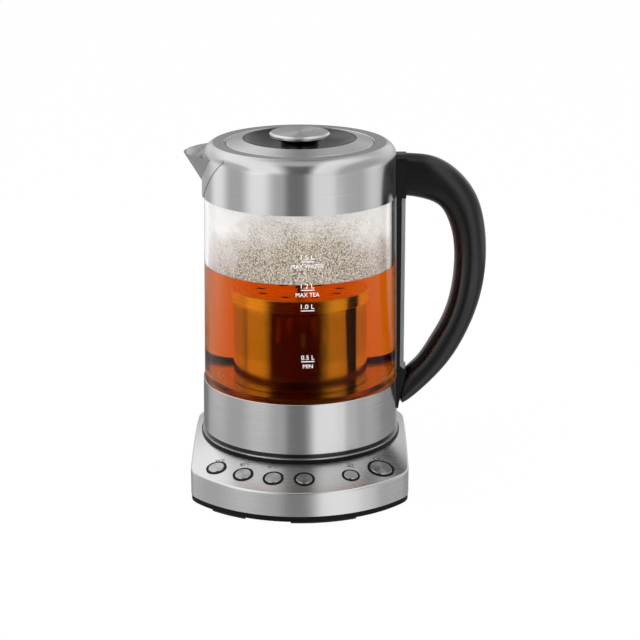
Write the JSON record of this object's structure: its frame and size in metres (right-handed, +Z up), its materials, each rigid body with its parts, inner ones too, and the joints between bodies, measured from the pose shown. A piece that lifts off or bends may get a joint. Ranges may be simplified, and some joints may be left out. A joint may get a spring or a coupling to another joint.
{
  "type": "automatic tea maker",
  "caption": "Glass tea maker with steel collar and band, black loop handle, lift-out tea basket and a powered base with press buttons.",
  "frame": {"origin": "on the jug's axis, on the surface that the base's feet stand on; the tray's underside lies a foot's height above it", "axes": "+Z up along the jug's axis, +X towards the handle, -X towards the spout, -Y towards the buttons"},
  "size_m": [0.2185, 0.1923, 0.2582],
  "materials": {
    "base_steel": "brushed, satin",
    "jug_steel": "brushed round the jug",
    "lid_steel": "spun and polished",
    "basket_steel": "bright",
    "plate_steel": "satin",
    "button_steel": "spun",
    "screw_steel": "plated",
    "gloss_black": "polished black",
    "satin_black": "satin black",
    "trim_grey": "satin grey",
    "dark_plastic": "moulded",
    "pale_plastic": "moulded",
    "board_green": "lacquered board",
    "contact_brass": "bright",
    "core_metal": "lacquered",
    "diffuser_aluminium": "cast",
    "jug_glass": "clear",
    "seal_silicone": "translucent silicone",
    "foot_rubber": "matt"
  },
  "bodies": {
    "base": {"base_cover": "base_steel", "base_tray": "satin_black", "rubber_feet": "foot_rubber", "seat_dish": "satin_black", "seat_trim_ring": "lid_steel", "power_plug": "dark_plastic", "plug_contacts": "contact_brass", "button_bezels": "gloss_black", "control_board": "board_green", "push_switches": "dark_plastic", "power_board": "board_green", "transformer": "core_metal", "relay": "dark_plastic", "cord_gland": "satin_black", "base_screws": "screw_steel"},
    "socket": {"jug_socket": "pale_plastic", "socket_contacts": "contact_brass"},
    "jug": {"glass_wall": "jug_glass", "lower_band": "jug_steel", "upper_collar": "jug_steel", "spout": "jug_steel", "spout_filter": "plate_steel", "upper_seal": "seal_silicone", "lower_seal": "seal_silicone", "heating_plate": "plate_steel", "heat_diffuser": "diffuser_aluminium", "heating_element": "plate_steel", "temperature_sensor": "contact_brass", "thermal_cutout": "pale_plastic", "jug_underside": "satin_black", "handle_bracket": "satin_black", "strap_trim": "trim_grey", "handle_screws": "screw_steel", "grip_inner_shell": "satin_black", "grip_outer_cover": "satin_black"},
    "lid": {"lid_ring": "lid_steel", "lid_dish": "gloss_black", "lid_plug": "dark_plastic", "lid_seal": "seal_silicone", "knob_cap": "lid_steel", "knob_stem": "gloss_black"},
    "basket": {"basket_wall": "basket_steel", "basket_base": "basket_steel"},
    "basket_lid": {"basket_lid": "basket_steel", "basket_knob": "basket_steel"},
    "button_1": {"button_1_cap": "button_steel", "button_1_plunger": "dark_plastic"},
    "button_2": {"button_2_cap": "button_steel", "button_2_plunger": "dark_plastic"},
    "button_3": {"button_3_cap": "button_steel", "button_3_plunger": "dark_plastic"},
    "button_4": {"button_4_cap": "button_steel", "button_4_plunger": "dark_plastic"},
    "button_5": {"button_5_cap": "button_steel", "button_5_plunger": "dark_plastic"},
    "button_6": {"button_6_cap": "button_steel", "button_6_plunger": "dark_plastic"}
  },
  "joints": [
    {"name": "jug_lift", "type": "slide", "parent": "base", "child": "socket", "axis": [0, 0, 1], "range_m": [0, 0.12]},
    {"name": "jug_swivel", "type": "hinge", "parent": "socket", "child": "jug", "pos_m": [0, 0, 0], "axis": [0, 0, 1], "continuous": true},
    {"name": "lid_lift", "type": "slide", "parent": "jug", "child": "lid", "axis": [0, 0, 1], "range_m": [0, 0.1]},
    {"name": "basket_lift", "type": "slide", "parent": "jug", "child": "basket", "axis": [0, 0, 1], "range_m": [0, 0.08]},
    {"name": "basket_lid_lift", "type": "slide", "parent": "basket", "child": "basket_lid", "axis": [0, 0, 1], "range_m": [0, 0.06]},
    {"name": "button_1_press", "type": "slide", "parent": "base", "child": "button_1", "axis": [0.1779, 0.2039, -0.9627], "range_m": [0, 0.0006], "stiffness_N_per_m": 1500, "springref_m": -0.0008},
    {"name": "button_2_press", "type": "slide", "parent": "base", "child": "button_2", "axis": [0.1195, 0.2428, -0.9627], "range_m": [0, 0.0006], "stiffness_N_per_m": 1500, "springref_m": -0.0008},
    {"name": "button_3_press", "type": "slide", "parent": "base", "child": "button_3", "axis": [0.0553, 0.2649, -0.9627], "range_m": [0, 0.0006], "stiffness_N_per_m": 1500, "springref_m": -0.0008},
    {"name": "button_4_press", "type": "slide", "parent": "base", "child": "button_4", "axis": [-0.0104, 0.2704, -0.9627], "range_m": [0, 0.0006], "stiffness_N_per_m": 1500, "springref_m": -0.0008},
    {"name": "button_5_press", "type": "slide", "parent": "base", "child": "button_5", "axis": [-0.1088, 0.2478, -0.9627], "range_m": [0, 0.0006], "stiffness_N_per_m": 1500, "springref_m": -0.0008},
    {"name": "button_6_press", "type": "slide", "parent": "base", "child": "button_6", "axis": [-0.1736, 0.2076, -0.9627], "range_m": [0, 0.0006], "stiffness_N_per_m": 1500, "springref_m": -0.0008}
  ]
}
